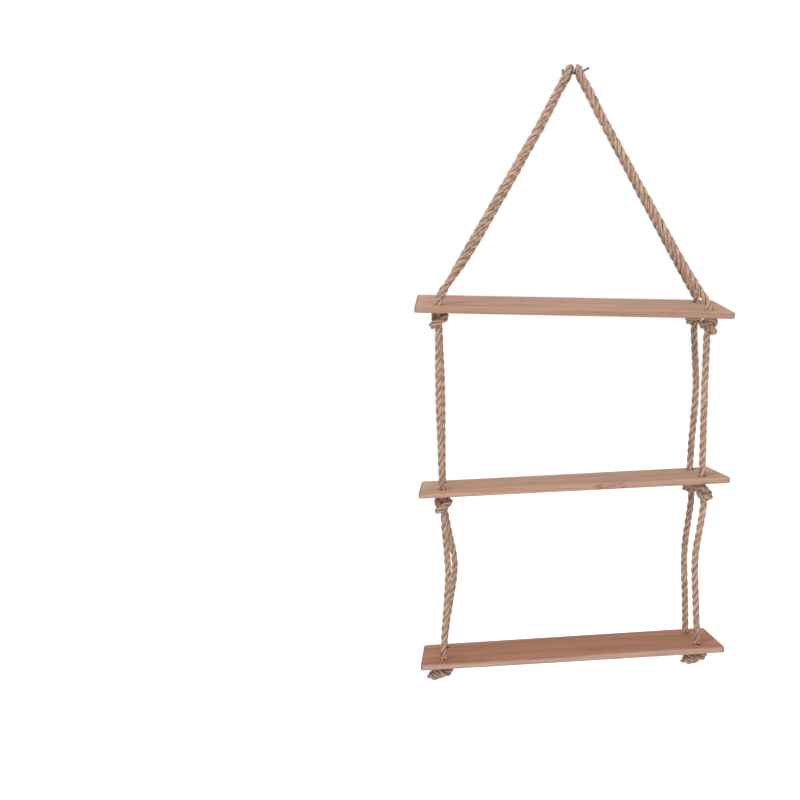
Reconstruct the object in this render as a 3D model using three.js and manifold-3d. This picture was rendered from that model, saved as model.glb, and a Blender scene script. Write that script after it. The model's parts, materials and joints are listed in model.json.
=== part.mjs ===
// Hanging rope shelf: three thin timber boards on two knotted ropes, hung from one steel wall hook.
// Units are millimetres. X runs to the right, Y into the wall and Z up.
// The origin is the centre of the hook's collar, where it seats on the wall.
import * as THREE from 'three';
import { mergeVertices } from 'three/addons/utils/BufferGeometryUtils.js';
import Module from 'manifold-3d';

const wasm = await Module();
wasm.setup();

// Boards
const boardLength = 430;
const boardDepth = 130;
const boardThickness = 8;
const boardCornerRadius = 5;
const boardEdgeEase = 1;
const holeInsetFromEnd = 33;
const holeInsetFromEdge = 27;

// The holes are bored by hand: the right-hand ones of a board lie this much nearer to its end
const rightHoleShifts = { top: 4, middle: 1, bottom: 0 };

// Rope, and the room that it has in its holes and against its neighbours
const ropeDiameter = 10;
const holeClearance = 0.6;
const seatGap = 0.3;
const turningGap = 0.5;

// Heights: the hook's low point to the top board's upper face, then from board to board
const slingDrop = 312;
const upperTierDrop = 255;
const lowerTierDrop = 252;

// The boards hang a little out of true, as hand-tied ones do.
// An end rise lifts the right end over the left one, a back rise lifts the back edge over the front one.
// A shift is how far its middle hangs to the right of the hook's low point.
const topEndRise = -12;
const topBackRise = 9;
const topShift = -3;
const middleEndRise = 23;
const middleBackRise = -15;
const middleShift = 0;
const bottomEndRise = 32;
const bottomBackRise = -23;
const bottomShift = 1;

// Overhand knots under the boards. Each is a loose knot drawn tight, worked out in rope diameters.
const stubProud = 1;
const knotHeightShare = 2.8;
const knotRopeShare = 16;
const tailRopeShare = 12;
const tailRiseShare = 0.8;
const turnGapShare = 0.86;
const pointGapShare = 0.3;
const looseWidthShare = 0.42;
const looseHeightShare = 0.16;
const firstThicknessShare = 0.35;
const pullShare = 0.03;
const bendShare = 0.12;
const centringShare = 0.8;
const pushShare = 0.75;
const looseReach = 2.15;

// Stiff rope keeps a little of its coil, so each leg bows to the right of its own line, or to the left of it
const upperBows = { front_left: -1.5, back_left: 2, front_right: -0.5, back_right: 5.5 };
const lowerBows = { front_left: 6.5, back_left: 16, front_right: -8.5, back_right: -7 };
const bowHeightShare = 0.37;
const lateHeightShare = 0.7;
const lateBowShare = 0.45;

// The slings bow too, by these amounts at two shares of the way up.
// A skew is how far the front of a bight lies outside its back.
const slingBows = {
  front_left: [-1, 2],
  back_left: [9, 4.5],
  front_right: [-4, -3],
  back_right: [-1.5, -1],
};
const slingBowShares = [0.25, 0.75];
const bightSkews = { left: 4.5, right: 1 };

// Wall hook, bent from round steel rod
const rodDiameter = 3;
const cradleRadius = 30;
const tipLength = 7;
const cornerReach = 3;
const wallClearance = 15;
const armRise = 3;
const armLean = 10;
const armLead = 8;
const collarRadius = 4.5;
const collarThickness = 2;
const screwRadius = 2;
const screwLength = 22;
const screwPointLength = 6;

// Where each bight parts from its sling legs, measured from the rod
const bightReach = 20;

// Angles in degrees
const cradleTipAngle = 28;
const cradleCornerAngle = 28.5;
const knotTurns = {
  top: { front_left: 195, back_left: 330, front_right: 60, back_right: 150 },
  middle: { front_left: 225, back_left: 30, front_right: 345, back_right: 120 },
  bottom: { front_left: 240, back_left: 242, front_right: 235, back_right: 238 },
};

// Facet counts
const ropeSides = 12;
const holeSides = 16;
const cornerSteps = 4;
const capSteps = 3;
const rodSides = 8;
const rodSteps = 36;
const archSteps = 8;
const bightSteps = 18;
const slingSteps = 12;
const looseSteps = 80;
const knotSides = 8;
const knotSteps = 40;
const legSteps = 10;

// Rounds of work on each knot
const tighteningRounds = 300;
const settlingRounds = 120;
const easingRounds = 6;

const ropeRadius = ropeDiameter / 2;
const rodRadius = rodDiameter / 2;
const knotHeight = knotHeightShare * ropeDiameter;

const timber = new THREE.MeshStandardMaterial({ color: 0xb9917a, roughness: 0.62, metalness: 0 });
const jute = new THREE.MeshStandardMaterial({ color: 0xa8835f, roughness: 0.95, metalness: 0 });
const steel = new THREE.MeshStandardMaterial({ color: 0x4a4a4c, roughness: 0.42, metalness: 0.9 });

function radians(degrees) {
  return THREE.MathUtils.degToRad(degrees);
}

function vector(x, y, z) {
  return new THREE.Vector3(x, y, z);
}

// A closed geometry becomes a solid that can be joined and cut
function solidOf(geometry) {
  const bare = geometry.index ? geometry.toNonIndexed() : geometry.clone();
  bare.deleteAttribute('normal');
  bare.deleteAttribute('uv');
  const merged = mergeVertices(bare);
  return new wasm.Manifold(new wasm.Mesh({
    numProp: 3,
    vertProperties: new Float32Array(merged.attributes.position.array),
    triVerts: new Uint32Array(merged.index.array),
  }));
}

function geometryOf(solid) {
  const mesh = solid.getMesh();
  const geometry = new THREE.BufferGeometry();
  geometry.setAttribute('position', new THREE.BufferAttribute(new Float32Array(mesh.vertProperties), 3));
  geometry.setIndex(new THREE.BufferAttribute(new Uint32Array(mesh.triVerts), 1));
  geometry.computeVertexNormals();
  return geometry;
}

function circlePoints(radius, sides) {
  const points = [];
  for (let side = 0; side < sides; side += 1) {
    const angle = (side / sides) * Math.PI * 2;
    points.push(new THREE.Vector2(radius * Math.cos(angle), radius * Math.sin(angle)));
  }
  return points;
}

// A round bar along a smooth curve through the given points
function barAlong(points, radius, sides, steps) {
  return new THREE.ExtrudeGeometry(new THREE.Shape(circlePoints(radius, sides)), {
    extrudePath: new THREE.CatmullRomCurve3(points, false, 'centripetal'),
    steps,
    bevelEnabled: false,
  });
}

// A turned solid: its profile runs up the Z axis as pairs of radius and height
function turned(profile, sides) {
  const points = profile.map(([radius, height]) => new THREE.Vector2(radius, height));
  return new THREE.LatheGeometry(points, sides).rotateX(Math.PI / 2);
}

function outlineOf(length, depth, radius) {
  const points = [];
  const corners = [[1, -1, -90], [1, 1, 0], [-1, 1, 90], [-1, -1, 180]];
  for (const [alongX, alongY, startAngle] of corners) {
    for (let step = 0; step <= cornerSteps; step += 1) {
      const angle = radians(startAngle + (90 * step) / cornerSteps);
      const x = alongX * (length / 2 - radius) + radius * Math.cos(angle);
      const y = alongY * (depth / 2 - radius) + radius * Math.sin(angle);
      points.push(new THREE.Vector2(x, y));
    }
  }
  return points;
}

const holeX = boardLength / 2 - holeInsetFromEnd;
const holeY = boardDepth / 2 - holeInsetFromEdge;
const corners = [
  { name: 'front_left', x: -holeX, y: -holeY, side: -1 },
  { name: 'back_left', x: -holeX, y: holeY, side: -1 },
  { name: 'front_right', x: holeX, y: -holeY, side: 1 },
  { name: 'back_right', x: holeX, y: holeY, side: 1 },
];

// Where a corner's hole is bored in a board
function holeOf(tier, corner) {
  const shift = corner.side > 0 ? rightHoleShifts[tier.name] : 0;
  return new THREE.Vector2(corner.x + shift, corner.y);
}

// The board's upper face lies at height zero of its own frame
function boardGeometry(tier) {
  const outline = new THREE.Shape(outlineOf(boardLength, boardDepth, boardCornerRadius));
  for (const corner of corners) {
    const hole = holeOf(tier, corner);
    const rim = circlePoints(ropeRadius + holeClearance, holeSides).map((point) => point.add(hole));
    outline.holes.push(new THREE.Path(rim));
  }
  const geometry = new THREE.ExtrudeGeometry(outline, {
    depth: boardThickness - 2 * boardEdgeEase,
    bevelEnabled: true,
    bevelThickness: boardEdgeEase,
    bevelSize: boardEdgeEase,
    bevelOffset: -boardEdgeEase,
    bevelSegments: 1,
  });
  return geometry.translate(0, 0, boardEdgeEase - boardThickness);
}

// A round bar through rings, each a centre and a radius, closed by a point at either end
function barThrough(startPoint, rings, endPoint, sides) {
  const positions = [startPoint.toArray()];
  const faces = [];
  const across = vector(1, 0, 0);
  rings.forEach((ring, index) => {
    const before = rings[Math.max(index - 1, 0)].centre;
    const after = rings[Math.min(index + 1, rings.length - 1)].centre;
    const along = after.clone().sub(before).normalize();
    across.addScaledVector(along, -across.dot(along)).normalize();
    const over = along.clone().cross(across);
    for (const point of circlePoints(ring.radius, sides)) {
      const place = ring.centre.clone().addScaledVector(across, point.x).addScaledVector(over, point.y);
      positions.push(place.toArray());
    }
  });
  positions.push(endPoint.toArray());
  const last = positions.length - 1;
  for (let side = 0; side < sides; side += 1) {
    const next = (side + 1) % sides;
    faces.push([0, 1 + next, 1 + side]);
    for (let ring = 1; ring < rings.length; ring += 1) {
      const near = 1 + (ring - 1) * sides;
      const far = near + sides;
      faces.push([near + side, near + next, far + next]);
      faces.push([near + side, far + next, far + side]);
    }
    faces.push([last, last - sides + side, last - sides + next]);
  }
  const geometry = new THREE.BufferGeometry();
  geometry.setAttribute('position', new THREE.Float32BufferAttribute(positions.flat(), 3));
  geometry.setIndex(faces.flat());
  geometry.computeVertexNormals();
  return geometry;
}

// A loose overhand knot about the Z axis, as evenly spaced points from its upper end to its lower one
function looseKnot(turn, ropeShare) {
  const line = new THREE.CatmullRomCurve3();
  line.arcLengthDivisions = looseSteps * looseSteps;
  for (let step = 0; step <= looseSteps; step += 1) {
    const t = looseReach * ((2 * step) / looseSteps - 1);
    const x = (t ** 3 - 3 * t) * looseWidthShare;
    const y = (t ** 4 - 4 * t ** 2 + 2) * looseWidthShare;
    const z = (10 * t - t ** 5) * looseHeightShare;
    line.points.push(vector(x, y, z).applyAxisAngle(vector(0, 0, 1), turn));
  }
  const points = line.getSpacedPoints(Math.floor(ropeShare / pointGapShare));
  return points.map((point) => point.multiplyScalar(ropeShare / line.getLength()));
}

// Moves apart the points of different turns that lie nearer to each other than the rope is thick
function pushApart(points, apart, thickness) {
  const moves = points.map(() => vector(0, 0, 0));
  const hits = points.map(() => 0);
  for (let first = 0; first + apart < points.length; first += 1) {
    for (let second = first + apart; second < points.length; second += 1) {
      const distance = points[first].distanceTo(points[second]);
      if (distance < thickness) {
        const push = points[second].clone().sub(points[first]).multiplyScalar((thickness - distance) / distance);
        moves[first].sub(push);
        moves[second].add(push);
        hits[first] += 1;
        hits[second] += 1;
      }
    }
  }
  points.forEach((point, index) => {
    point.addScaledVector(moves[index], pushShare / Math.max(hits[index], 1));
  });
}

// Rope resists bending, so each point is eased towards the middle of its neighbours
function easeBends(points) {
  const middles = points.map((point, index) => {
    const before = points[Math.max(index - 1, 0)];
    const after = points[Math.min(index + 1, points.length - 1)];
    return before.clone().add(after).multiplyScalar(0.5);
  });
  for (let index = 1; index < points.length - 1; index += 1) {
    points[index].lerp(middles[index], bendShare);
  }
}

// Rope doesn't stretch, so neighbouring points keep their distance
function keepSpacing(points, gap) {
  for (const start of [0, 1]) {
    for (let index = start; index + 1 < points.length; index += 2) {
      const step = points[index + 1].clone().sub(points[index]);
      step.multiplyScalar((1 - gap / step.length()) / 2);
      points[index].add(step);
      points[index + 1].sub(step);
    }
  }
}

function centre(points) {
  for (const point of points) {
    point.x *= centringShare;
    point.y *= centringShare;
  }
}

// The centre line of a tight overhand knot: its rope thickens round by round until it bears on itself,
// while the upper end is drawn straight up and the lower one straight down, or out to the left as a tail
function tiedKnot(turn, hasTail) {
  const ropeShare = hasTail ? tailRopeShare : knotRopeShare;
  const points = looseKnot(turn, ropeShare);
  const gap = ropeShare / (points.length - 1);
  const apart = Math.ceil((1 + pointGapShare) / gap);
  const leaving = hasTail ? vector(-1, 0, tailRiseShare).normalize() : vector(0, 0, -1);
  for (let round = 0; round < tighteningRounds + settlingRounds; round += 1) {
    const grown = Math.min(1, round / tighteningRounds);
    const thickness = turnGapShare * (firstThicknessShare + (1 - firstThicknessShare) * grown);
    points[0].z += pullShare;
    points[points.length - 1].addScaledVector(leaving, pullShare);
    centre(points.slice(0, 3));
    if (!hasTail) {
      centre(points.slice(-3));
    }
    for (let easing = 0; easing < easingRounds; easing += 1) {
      easeBends(points);
      pushApart(points, apart, thickness);
      keepSpacing(points, gap);
    }
  }
  return points;
}

// A knot reaches from its highest turn that lies on earlier rope
// down to its lowest one that lies under later rope
function knotSpan(points) {
  const apart = Math.ceil(2 / pointGapShare);
  const touches = (point, others) => others.some((other) => point.distanceTo(other) < 1);
  const isOver = (point, index) => touches(point, points.slice(0, Math.max(index - apart, 0)));
  const isUnder = (point, index) => touches(point, points.slice(index + apart));
  const over = points.filter(isOver);
  const under = points.filter(isUnder);
  return {
    top: Math.max(...over.map((point) => point.z)),
    bottom: Math.min(...under.map((point) => point.z)),
  };
}

// One overhand knot with the rope that rises from it through the board's hole.
// It bears on the board's underside, and its lower end is where the next leg turns.
function knotGeometry(turn, hasTail) {
  const seat = -boardThickness - seatGap;
  const points = tiedKnot(turn, hasTail);
  const { top, bottom } = knotSpan(points);
  const first = points.findIndex((point) => point.z <= top);
  const last = hasTail ? points.length - 1 : points.findLastIndex((point) => point.z >= bottom);
  const entry = points[first].clone();
  const exit = hasTail ? entry : points[last].clone();
  const route = [vector(0, 0, stubProud), vector(0, 0, seat / 2), vector(0, 0, seat)];
  for (const point of points.slice(first, last + 1)) {
    const sunk = THREE.MathUtils.clamp((top - point.z) / (top - bottom), 0, 1);
    const aside = entry.clone().lerp(exit, sunk);
    const place = vector(point.x - aside.x, point.y - aside.y, point.z - top).multiplyScalar(ropeDiameter);
    route.push(place.add(vector(0, 0, seat - ropeRadius)));
  }
  if (!hasTail) {
    route.push(vector(0, 0, seat - knotHeight));
  }
  const line = new THREE.CatmullRomCurve3(route, false, 'centripetal');
  const rings = line.getSpacedPoints(knotSteps).map((place) => ({ centre: place, radius: ropeRadius }));
  return barThrough(rings[0].centre, rings, rings[knotSteps].centre, knotSides);
}

// A rope leg between two turning points, with a round end centred on each and its upper one at its own origin
function legGeometry(reach, bow) {
  const line = new THREE.CatmullRomCurve3([
    vector(0, 0, 0),
    reach.clone().multiplyScalar(bowHeightShare).add(vector(bow, 0, 0)),
    reach.clone().multiplyScalar(lateHeightShare).add(vector(bow * lateBowShare, 0, 0)),
    reach,
  ]);
  const rings = line.getSpacedPoints(legSteps).map((place) => ({ centre: place, radius: ropeRadius }));
  const leaving = rings[0].centre.clone().sub(rings[1].centre).setLength(ropeRadius);
  const landing = rings[legSteps].centre.clone().sub(rings[legSteps - 1].centre).setLength(ropeRadius);
  for (let step = 1; step < capSteps; step += 1) {
    const angle = radians((90 * step) / capSteps);
    const radius = ropeRadius * Math.cos(angle);
    rings.unshift({ centre: leaving.clone().multiplyScalar(Math.sin(angle)), radius });
    rings.push({ centre: reach.clone().addScaledVector(landing, Math.sin(angle)), radius });
  }
  return barThrough(leaving, rings, reach.clone().add(landing), ropeSides);
}

// Hook: the cradle is an arc round a centre above it, and both bights sit square to that arc
const hangPlane = -(boardDepth / 2 + wallClearance);
const tipAngle = radians(cradleTipAngle);
const cornerAngle = radians(cradleCornerAngle);
const cornerX = cradleRadius * Math.sin(cornerAngle) + cornerReach * Math.cos(cornerAngle);
const cornerZ = cradleRadius * Math.cos(cornerAngle) - cornerReach * Math.sin(cornerAngle);
const cradleCentre = vector(cornerX - armLean, hangPlane, armRise + cornerZ);
const hookLow = cradleCentre.z - cradleRadius;

function cradlePoint(angle) {
  return vector(
    cradleCentre.x + cradleRadius * Math.sin(angle),
    hangPlane,
    cradleCentre.z - cradleRadius * Math.cos(angle),
  );
}

function hookGeometry() {
  const alongTip = vector(Math.cos(tipAngle), 0, Math.sin(tipAngle));
  const corner = vector(-armLean, hangPlane, armRise);
  const armEnd = vector(0, -armLead, 0);
  const alongArm = armEnd.clone().sub(corner).normalize();
  const path = [cradlePoint(tipAngle).addScaledVector(alongTip, tipLength)];
  for (let step = 0; step <= archSteps; step += 1) {
    path.push(cradlePoint(tipAngle - ((tipAngle + cornerAngle) * step) / archSteps));
  }
  path.push(corner.clone().addScaledVector(alongArm, cornerReach));
  path.push(armEnd);
  path.push(vector(0, -collarThickness / 2, 0));
  const rod = solidOf(barAlong(path, rodRadius, rodSides, rodSteps));
  const screw = turned([
    [0, -collarThickness],
    [collarRadius, -collarThickness],
    [collarRadius, 0],
    [screwRadius, 0],
    [screwRadius, screwLength - screwPointLength],
    [0, screwLength],
  ], ropeSides).rotateX(-Math.PI / 2);
  return geometryOf(rod.add(solidOf(screw)));
}

// Frames of the three boards
function boardFrame(name, drop, shift, endRise, backRise) {
  const frame = new THREE.Group();
  frame.name = name;
  frame.position.set(cradleCentre.x + shift, hangPlane, hookLow - drop);
  frame.rotation.set(Math.asin(backRise / boardDepth), -Math.asin(endRise / boardLength), 0, 'YXZ');
  frame.updateMatrixWorld();
  return frame;
}

const middleDrop = slingDrop + upperTierDrop;
const tiers = [
  boardFrame('top', slingDrop, topShift, topEndRise, topBackRise),
  boardFrame('middle', middleDrop, middleShift, middleEndRise, middleBackRise),
  boardFrame('bottom', middleDrop + lowerTierDrop, bottomShift, bottomEndRise, bottomBackRise),
];

// A point at a hole of a board, at a height over the board's upper face
function atHole(tier, corner, height) {
  const hole = holeOf(tier, corner);
  return vector(hole.x, hole.y, height).applyMatrix4(tier.matrixWorld);
}

// A leg turns on a point just under the knot above it and on one just over the hole below it
function legTop(tier, corner) {
  return atHole(tier, corner, -boardThickness - seatGap - knotHeight - turningGap - ropeRadius);
}

function legFoot(tier, corner) {
  return atHole(tier, corner, stubProud + turningGap + ropeRadius);
}

// From front to back, a board comes to rest where its four legs hang plumb on the whole
function hangPlumb(tier, above) {
  for (const corner of corners) {
    tier.position.y += (legTop(above, corner).y - legFoot(tier, corner).y) / corners.length;
  }
  tier.updateMatrixWorld();
}

hangPlumb(tiers[1], tiers[0]);
hangPlumb(tiers[2], tiers[1]);

// Slings: each side's rope comes up from two holes, and its bight goes over the rod. Both bights
// rest against each other in the bottom of the cradle
const bightRadius = rodRadius + turningGap + ropeRadius;
const bightAngle = Math.asin((ropeRadius + seatGap / 2) / (cradleRadius - bightRadius));

const swingHeight = cradlePoint(bightAngle).z;

function slingFrame(side, skew) {
  const [front, back] = corners.filter((corner) => corner.side === side);
  return { front, back, side, skewAngle: skew / cradleRadius };
}

const slings = { left: slingFrame(-1, bightSkews.left), right: slingFrame(1, bightSkews.right) };

// A point of the bight's half turn over the rod, from its front at no turn to its back at half a turn
function overRod(sling, turn) {
  const frontShare = (1 + Math.cos(turn)) / 2;
  const angle = sling.side * (bightAngle + sling.skewAngle * frontShare);
  const reach = cradleRadius - bightRadius * Math.sin(turn);
  const point = vector(Math.sin(angle), 0, -Math.cos(angle)).multiplyScalar(reach).add(cradleCentre);
  return point.add(vector(0, -bightRadius * Math.cos(turn), 0));
}

// The sling's line from the side of the rod down to its hole
function slingLeg(sling, corner) {
  const start = overRod(sling, corner.y < 0 ? 0 : Math.PI);
  const foot = atHole(tiers[0], corner, stubProud + seatGap);
  const rise = atHole(tiers[0], corner, stubProud + seatGap + ropeRadius);
  return { start, foot, rise };
}

function pointBetween(start, end, distance) {
  return start.clone().addScaledVector(end.clone().sub(start).normalize(), distance);
}

// A round cutter about the line that the top board swings forward on
function swingBarrel(radius) {
  const barrel = new THREE.CylinderGeometry(radius, radius, boardLength, holeSides * 2).rotateZ(Math.PI / 2);
  return solidOf(barrel.translate(cradleCentre.x, hangPlane, swingHeight));
}

function bightGeometry(sling) {
  const path = [];
  const front = slingLeg(sling, sling.front);
  const back = slingLeg(sling, sling.back);
  path.push(pointBetween(front.start, front.rise, bightReach + ropeDiameter));
  path.push(pointBetween(front.start, front.rise, bightReach / 2));
  for (let step = 0; step <= archSteps; step += 1) {
    path.push(overRod(sling, Math.PI * (step / archSteps)));
  }
  path.push(pointBetween(back.start, back.rise, bightReach / 2));
  path.push(pointBetween(back.start, back.rise, bightReach + ropeDiameter));
  const bar = solidOf(barAlong(path, ropeRadius, ropeSides, bightSteps));
  return geometryOf(bar.intersect(swingBarrel(bightReach)));
}

function slingLegGeometry(sling, corner) {
  const { start, foot, rise } = slingLeg(sling, corner);
  const path = [foot, rise, pointBetween(rise, start, ropeDiameter)];
  slingBowShares.forEach((share, index) => {
    const bow = vector(slingBows[corner.name][index], 0, 0);
    path.push(rise.clone().lerp(start, share).add(bow));
  });
  path.push(pointBetween(start, rise, bightReach + ropeDiameter));
  path.push(pointBetween(start, rise, bightReach / 2));
  const bar = solidOf(barAlong(path, ropeRadius, ropeSides, slingSteps));
  return geometryOf(bar.subtract(swingBarrel(bightReach + turningGap)));
}

const shelf = new THREE.Group();

function addPiece(parent, name, geometry, material) {
  const piece = new THREE.Mesh(geometry, material);
  piece.name = name;
  parent.add(piece);
  return piece;
}

addPiece(shelf, 'wall_hook', hookGeometry(), steel);

for (const [sideName, sling] of Object.entries(slings)) {
  addPiece(shelf, `rope_bight_${sideName}`, bightGeometry(sling), jute);
  for (const corner of [sling.front, sling.back]) {
    addPiece(shelf, `sling_leg_${corner.name}`, slingLegGeometry(sling, corner), jute);
  }
}

tiers.forEach((tier, index) => {
  shelf.add(tier);
  addPiece(tier, `board_${tier.name}`, boardGeometry(tier), timber);
  for (const corner of corners) {
    const turn = radians(knotTurns[tier.name][corner.name]);
    const geometry = knotGeometry(turn, index === tiers.length - 1);
    const knot = addPiece(tier, `knot_${tier.name}_${corner.name}`, geometry, jute);
    const hole = holeOf(tier, corner);
    knot.position.set(hole.x, hole.y, 0);
  }
});

// Legs between the knots under one board and the holes of the next
for (const [index, [legName, bows]] of [['upper', upperBows], ['lower', lowerBows]].entries()) {
  for (const corner of corners) {
    const top = legTop(tiers[index], corner);
    const reach = legFoot(tiers[index + 1], corner).sub(top);
    const geometry = legGeometry(reach, bows[corner.name]);
    addPiece(shelf, `${legName}_leg_${corner.name}`, geometry, jute).position.copy(top);
  }
}

export default shelf;
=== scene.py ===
import json
import math

import bmesh
import bpy
import numpy as np
from mathutils import Matrix, Vector


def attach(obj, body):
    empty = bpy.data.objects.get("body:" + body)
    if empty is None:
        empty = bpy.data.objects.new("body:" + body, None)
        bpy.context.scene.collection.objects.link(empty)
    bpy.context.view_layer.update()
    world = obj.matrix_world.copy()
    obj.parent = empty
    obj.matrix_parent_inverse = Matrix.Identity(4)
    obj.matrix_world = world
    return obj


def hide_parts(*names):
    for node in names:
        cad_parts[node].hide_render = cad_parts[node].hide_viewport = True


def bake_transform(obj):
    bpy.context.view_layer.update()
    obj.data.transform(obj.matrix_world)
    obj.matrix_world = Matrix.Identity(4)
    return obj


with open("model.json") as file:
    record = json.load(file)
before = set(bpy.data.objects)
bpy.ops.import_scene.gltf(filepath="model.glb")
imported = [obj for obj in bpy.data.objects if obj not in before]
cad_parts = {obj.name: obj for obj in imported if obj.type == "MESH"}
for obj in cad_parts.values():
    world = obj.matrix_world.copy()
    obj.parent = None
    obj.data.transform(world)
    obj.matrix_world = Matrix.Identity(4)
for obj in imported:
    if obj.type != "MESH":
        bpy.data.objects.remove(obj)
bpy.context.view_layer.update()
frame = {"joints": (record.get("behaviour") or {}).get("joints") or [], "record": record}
scene = bpy.context.scene
scene.view_settings.view_transform = "Standard"
chance = np.random.default_rng(7)
print("frame loaded")

# the view is from a little left of the shelf and above its top board, and looks slightly down
camera = {
    "place": (-0.159, -1.5287, -0.2123),
    "turn": 3.02,
    "pitch": -9.34,
    "roll": 0.72,
    "lens": 45.9,
    "sensor": 36,
    "nearest": 0.01,
}
lens = bpy.data.cameras.new("camera")
lens.lens = camera["lens"]
lens.sensor_width = camera["sensor"]
lens.clip_start = camera["nearest"]
eye = bpy.data.objects.new("camera", lens)
look = Matrix.Translation(camera["place"])
for angle, axis in ((camera["turn"], "Z"), (camera["pitch"], "X"), (camera["roll"], "Y"), (90, "X")):
    look = look @ Matrix.Rotation(math.radians(angle), 4, axis)
eye.matrix_world = look
scene.collection.objects.link(eye)
scene.camera = eye

# the places of the boards and of the hook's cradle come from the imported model
joints = {joint["name"]: Vector(joint["pos_m"]) for joint in frame["joints"]}
mounts = {mount["name"]: mount for mount in frame["record"]["mounts"]}
board = {
    "length": 0.430,
    "depth": 0.130,
    "thickness": 0.008,
    "cornerRadius": 0.005,
    "cornerSteps": 8,
    "edgeEase": 0.0012,
    "edgeSteps": 3,
    "holeX": 0.182,
    "holeY": 0.038,
    "holeRadius": 0.0056,
    "holeFacets": 40,
    "rimWidth": 0.001,  # the broken edge of a hole
    "rimDepth": 0.0007,
    "rightShift": {"top": 0.004, "middle": 0.001, "bottom": 0},  # of the right-hand holes, towards the end
    "smoothBelow": 35,
}
tiers = {}
for tier in ("top", "middle", "bottom"):
    face = mounts[tier + "_board_face"]
    up = Vector(face["axis"]).normalized()
    right = Vector((up.z, 0, -up.x)).normalized()
    turned = Matrix((right, up.cross(right), up)).transposed().to_4x4()
    tiers[tier] = Matrix.Translation(face["pos_m"]) @ turned
corners = {
    "front_left": (-board["holeX"], -board["holeY"]),
    "back_left": (-board["holeX"], board["holeY"]),
    "front_right": (board["holeX"], -board["holeY"]),
    "back_right": (board["holeX"], board["holeY"]),
}


def holeOf(tier, corner):
    x, y = corners[corner]
    return (x + board["rightShift"][tier], y) if x > 0 else (x, y)


def atHole(tier, corner, height):
    # height is above the board's top face
    return np.array(tiers[tier] @ Vector((*holeOf(tier, corner), height)))


# small helpers for objects and meshes
def link(obj, material=None):
    scene.collection.objects.link(obj)
    if material:
        obj.data.materials.append(material)
    return obj


def applied(obj):
    bpy.context.view_layer.update()
    return bpy.data.meshes.new_from_object(obj.evaluated_get(bpy.context.evaluated_depsgraph_get()))


def finished(shape, name):
    mesh = bpy.data.meshes.new(name)
    shape.to_mesh(mesh)
    shape.free()
    return mesh


def spun(shape, outline, centre, axis, steps):
    # a row of points, turned once round the axis
    points = [shape.verts.new(place) for place in outline]
    edges = [shape.edges.new(pair) for pair in zip(points, points[1:])]
    bmesh.ops.spin(shape, geom=points + edges, cent=centre, axis=axis, dvec=(0, 0, 0), angle=math.tau,
                   steps=steps, use_merge=True)


def eased(shape, edges, width, steps):
    bmesh.ops.bevel(shape, geom=edges, offset=width, offset_type="OFFSET", segments=steps, profile=0.5,
                    affect="EDGES", clamp_overlap=True, material=-1)


def shadeSmooth(obj, angle=None):
    obj.data.shade_smooth()
    if angle:
        obj.data.set_sharp_from_angle(angle=math.radians(angle))


def placesOf(mesh):
    places = np.zeros(len(mesh.vertices) * 3)
    mesh.vertices.foreach_get("co", places)
    return places.reshape(-1, 3)


def store(mesh, name, values):
    # one number or one vector for each point, for the material to read
    kind, key = ("FLOAT", "value") if values.ndim == 1 else ("FLOAT_VECTOR", "vector")
    mesh.attributes.new(name, kind, "POINT").data.foreach_set(key, values.ravel())


# small helpers for material trees
def newMaterial(name):
    material = bpy.data.materials.new(name)
    material.use_nodes = True
    return material, material.node_tree, material.node_tree.nodes["Principled BSDF"]


def addNode(tree, kind, **values):
    node = tree.nodes.new(kind)
    for key, value in values.items():
        if key in node.inputs:
            node.inputs[key].default_value = value
        else:
            setattr(node, key, value)
    return node


def stored(tree, name, output):
    return addNode(tree, "ShaderNodeAttribute", attribute_name=name).outputs[output]


def mixColours(tree, factor, first, second, blend="MIX"):
    # inputs 6 and 7 and output 2 are the node's colours
    mix = addNode(tree, "ShaderNodeMix", data_type="RGBA", blend_type=blend)
    for socket, value in ((mix.inputs[0], factor), (mix.inputs[6], first), (mix.inputs[7], second)):
        if isinstance(value, bpy.types.NodeSocket):
            tree.links.new(value, socket)
        elif isinstance(value, float):
            socket.default_value = value
        else:
            socket.default_value = (*value, 1)
    return mix.outputs[2]


def stretchedNoise(tree, vector, stretch, detail=4.0, roughness=0.6):
    mapping = addNode(tree, "ShaderNodeMapping")
    mapping.inputs["Scale"].default_value = stretch
    tree.links.new(vector, mapping.inputs["Vector"])
    noise = addNode(tree, "ShaderNodeTexNoise", Scale=1.0, Detail=detail, Roughness=roughness)
    tree.links.new(mapping.outputs["Vector"], noise.inputs["Vector"])
    return noise.outputs["Fac"]


def ramp(tree, value, *stops):
    node = addNode(tree, "ShaderNodeValToRGB")
    while len(node.color_ramp.elements) < len(stops):
        node.color_ramp.elements.new(0.5)
    for element, (place, colour) in zip(node.color_ramp.elements, stops):
        element.position = place
        element.color = (*colour, 1) if isinstance(colour, tuple) else (colour, colour, colour, 1)
    tree.links.new(value, node.inputs["Fac"])
    return node.outputs["Color"]


def fade(tree, value, low, high):
    node = addNode(tree, "ShaderNodeMapRange", **{"From Min": low, "From Max": high})
    tree.links.new(value, node.inputs["Value"])
    return node.outputs["Result"]


def times(tree, first, *others):
    for other in others:
        node = addNode(tree, "ShaderNodeMath", operation="MULTIPLY")
        tree.links.new(first, node.inputs[0])
        tree.links.new(other, node.inputs[1])
        first = node.outputs[0]
    return first


def addBump(tree, shader, height, strength, depth):
    bump = addNode(tree, "ShaderNodeBump", Strength=strength, Distance=depth)
    tree.links.new(height, bump.inputs["Height"])
    tree.links.new(bump.outputs["Normal"], shader.inputs["Normal"])


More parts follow.
